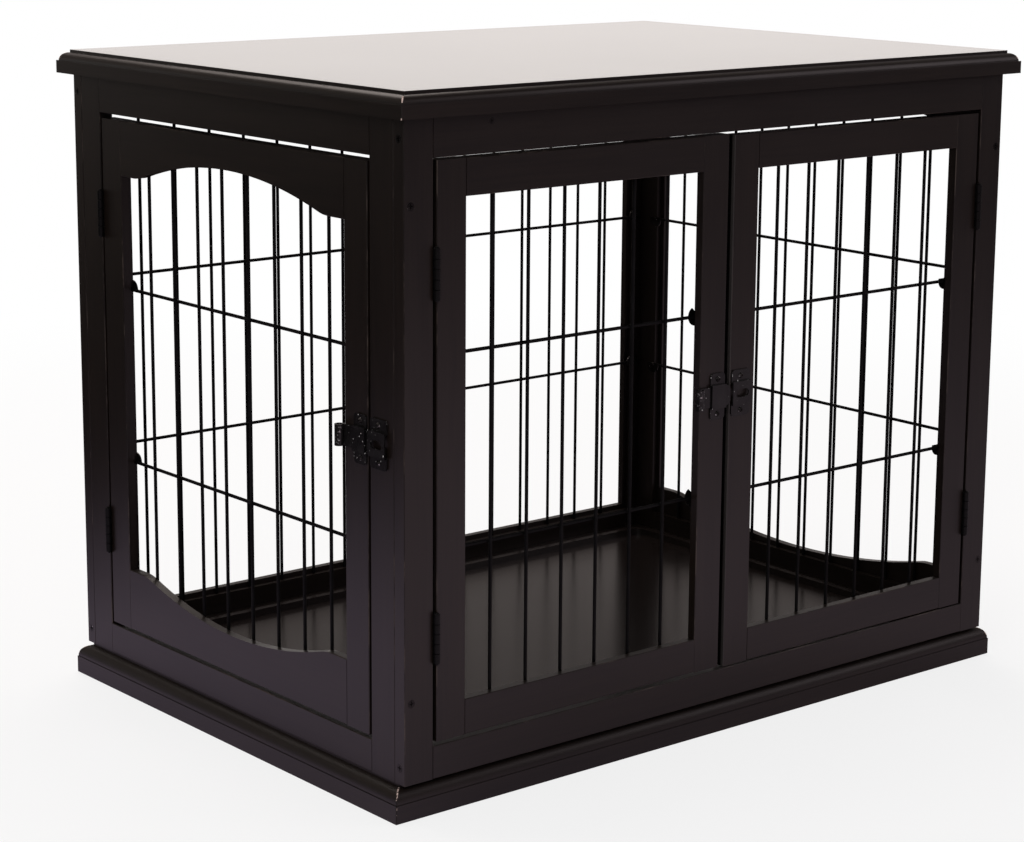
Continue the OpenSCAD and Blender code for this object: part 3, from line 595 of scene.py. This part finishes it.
FLOOR_R = 14.0
FLOOR_DROP = 0.0002
FLOOR_SEGMENTS = 96
SEEN_CLOSE, SEEN_RISE = 0.78, 0.22  # whiteness to the camera: close by, and its rise further off
SHADOW_ENDS = (0.95, 2.3)  # distances over which it rises, so that the shadow fades out
SIDEWAYS = (0.63, -0.74, 0.0)  # across the room, from the crate's left rear to its right front
RIGHTWARDS = (1.0, 0.0, 0.0)
BACKWARDS = (0.64, 0.77, 0.0)  # from the crate's left front corner to the backdrop

# Where the floor's reflected colours change, in metres from the crate's middle
CLOSE_ENDS = (0.38, 0.62)
LEFT_ENDS = (0.8, 1.5)
LEFT_REAR = (-0.05, 0.30)  # along BACKWARDS
BACKDROP_FOOT = (1.7, 2.5)  # along BACKWARDS
FRONT_ENDS = (1.5, 3.6)
LEFT_TO_FRONT = (-0.4, 0.4)  # along SIDEWAYS
FRONT_TO_RIGHT = (0.30, 0.85)  # cosine of the angle to RIGHTWARDS


def seen_directly(tree, path):
    return math_node(tree, "MAXIMUM", path["Is Camera Ray"], path["Is Transmission Ray"])


def mirrored_floor(tree, position, distance):
    """Painted light on the floor, seen only in reflections: bright beside the crate, as under
    softboxes hung near it, with painted shade close to the crate.

    It is dim further off and at the left rear, and a little lighter at the backdrop's foot.
    """
    close = smooth_step(tree, distance, *CLOSE_ENDS)
    backwards = dot(tree, position, BACKWARDS)
    rear = smooth_step(tree, backwards, *LEFT_REAR)
    left_edge = math_node(tree, "MAXIMUM", smooth_step(tree, distance, *LEFT_ENDS), rear)
    left = blend_colour(tree, close, FLOOR_LEFT_CLOSE, FLOOR_LEFT)
    left = blend_colour(tree, left_edge, left, FLOOR_DIM)
    left = blend_colour(tree, smooth_step(tree, backwards, *BACKDROP_FOOT), left, FLOOR_BEYOND)
    outwards = vector_math(tree, "NORMALIZE", {0: position}, "Vector")
    turned = smooth_step(tree, dot(tree, outwards, RIGHTWARDS), *FRONT_TO_RIGHT)
    front = blend_colour(tree, turned, FLOOR_FRONT, FLOOR_FRONT_RIGHT)
    front = blend_colour(tree, close, FLOOR_FRONT_CLOSE, front)
    front = blend_colour(tree, smooth_step(tree, distance, *FRONT_ENDS), front, FLOOR_DIM)
    sideways = smooth_step(tree, dot(tree, position, SIDEWAYS), *LEFT_TO_FRONT)
    return blend_colour(tree, sideways, left, front)


def floor_paper():
    """Pale paper that shows white to the camera, keeps the crate's shadow close to it, and glows
    with painted light and shade in reflections.
    """
    material, tree = new_material("floor_paper")
    position = object_position(tree)
    distance = vector_math(tree, "LENGTH", {0: position}, "Value")
    path = add(tree, "ShaderNodeLightPath").outputs
    far = smooth_step(tree, distance, *SHADOW_ENDS)
    whiteness = raised(tree, SEEN_CLOSE, far, SEEN_RISE)
    seen_share = product(tree, seen_directly(tree, path), whiteness)
    share = math_node(tree, "ADD", seen_share, path["Is Glossy Ray"], clamp=True)
    mirrored = mirrored_floor(tree, position, distance)
    colour = blend_colour(tree, path["Is Glossy Ray"], WHITE, mirrored)
    paper = add(tree, "ShaderNodeBsdfDiffuse", {"Color": PAPER}).outputs[0]
    glow = add(tree, "ShaderNodeEmission", {"Color": colour, "Strength": 1.0}).outputs[0]
    mixed = add(tree, "ShaderNodeMixShader", {0: share, 1: paper, 2: glow})
    add(tree, "ShaderNodeOutputMaterial", {"Surface": mixed.outputs[0]})
    return material


def floor():
    mesh = bpy.data.meshes.new("floor")
    built = bmesh.new()
    bmesh.ops.create_circle(built, cap_ends=True, segments=FLOOR_SEGMENTS, radius=FLOOR_R)
    built.to_mesh(mesh)
    built.free()
    mesh.materials.append(floor_paper())
    obj = bpy.data.objects.new("floor", mesh)
    obj.location.z = -FLOOR_DROP
    bpy.context.collection.objects.link(obj)


# Light and camera

# Where the room's reflected colours change, by one part of the direction each
BACKDROP_TOP = (0.12, 0.26)  # upwards
ROOM_LEFT_RISE = (0.15, 0.5)  # upwards
ROOM_RIGHT_RISE = (0.05, 0.35)  # upwards
ROOM_LEFT_TO_RIGHT = (-0.3, 0.3)  # along SIDEWAYS
BACKDROP_SIDE = (0.25, 0.53)  # along BACKWARDS


def world():
    """White to the camera, plain soft light on the crate, and a lit backdrop in reflections."""
    made = bpy.data.worlds.new("studio")
    made.use_nodes = True
    bpy.context.scene.world = made
    tree = made.node_tree
    tree.nodes.clear()
    direction = add(tree, "ShaderNodeTexCoord").outputs["Generated"]
    upward = parts_of(tree, direction)[2]
    path = add(tree, "ShaderNodeLightPath").outputs
    backdrop = blend_colour(tree, smooth_step(tree, upward, *BACKDROP_TOP), HORIZON_FAR, SKY_FAR)
    left = blend_colour(tree, smooth_step(tree, upward, *ROOM_LEFT_RISE), ROOM_LEFT, ROOM_LEFT_HIGH)
    right = blend_colour(
        tree, smooth_step(tree, upward, *ROOM_RIGHT_RISE), ROOM_RIGHT, ROOM_RIGHT_HIGH
    )
    sideways = smooth_step(tree, dot(tree, direction, SIDEWAYS), *ROOM_LEFT_TO_RIGHT)
    backwards = smooth_step(tree, dot(tree, direction, BACKWARDS), *BACKDROP_SIDE)
    room = blend_colour(tree, sideways, left, right)
    mirrored = blend_colour(tree, backwards, room, backdrop)
    unseen = blend_colour(tree, path["Is Glossy Ray"], AMBIENT, mirrored)
    colour = blend_colour(tree, seen_directly(tree, path), unseen, WHITE)
    glow = add(tree, "ShaderNodeBackground", {"Color": colour, "Strength": 1.0})
    add(tree, "ShaderNodeOutputWorld", {"Surface": glow.outputs[0]})


def softbox(name, place, aim, size, watts, tint):
    data = bpy.data.lights.new(name, "AREA")
    data.shape = "RECTANGLE"
    data.size, data.size_y = size
    data.energy = watts
    data.color = tint
    obj = bpy.data.objects.new(name, data)
    obj.location = place
    obj.rotation_euler = (Vector(aim) - Vector(place)).to_track_quat("-Z", "Y").to_euler()
    bpy.context.collection.objects.link(obj)


def lights():
    softbox(
        "overhead",
        place=(0.25, 1.1, 2.5),
        aim=(0.0, 0.0, 0.4),
        size=(2.2, 2.0),
        watts=40.0,
        tint=(1.0, 0.89, 0.83),
    )
    softbox(
        "left_front",
        place=(-2.3, -1.7, 1.9),
        aim=(0.0, 0.0, 0.35),
        size=(1.3, 1.6),
        watts=20.0,
        tint=(1.0, 0.99, 0.98),
    )
    softbox(
        "right_front",
        place=(2.2, -1.9, 1.7),
        aim=(0.0, 0.0, 0.35),
        size=(1.2, 1.5),
        watts=9.0,
        tint=(1.0, 0.88, 0.91),
    )


def camera():
    """The photograph's camera: heading is clockwise from +Y, dip below the horizon."""
    heading, dip, roll = (math.radians(a) for a in (HEADING, DIP, ROLL))
    ahead = (math.sin(heading) * math.cos(dip), math.cos(heading) * math.cos(dip))
    forward = Vector((*ahead, -math.sin(dip)))
    level_right = Vector((math.cos(heading), -math.sin(heading), 0.0))
    level_up = level_right.cross(forward)
    right = level_right * math.cos(roll) + level_up * math.sin(roll)
    up = level_up * math.cos(roll) - level_right * math.sin(roll)
    data = bpy.data.cameras.new("camera")
    data.sensor_width = SENSOR_W
    data.lens = FOCAL_PX / IMAGE_W * SENSOR_W
    data.shift_y = (AIM_ROW - IMAGE_H / 2) / IMAGE_W
    obj = bpy.data.objects.new("camera", data)
    obj.matrix_world = Matrix.Translation(EYE) @ Matrix((right, up, -forward)).transposed().to_4x4()
    bpy.context.collection.objects.link(obj)
    bpy.context.scene.camera = obj


def main():
    wire = dress_nodes()
    for node, body in GRIDS.items():
        weld_beads(node, body, wire)
    floor()
    world()
    lights()
    camera()
    bpy.context.scene.view_settings.view_transform = "Standard"


main()
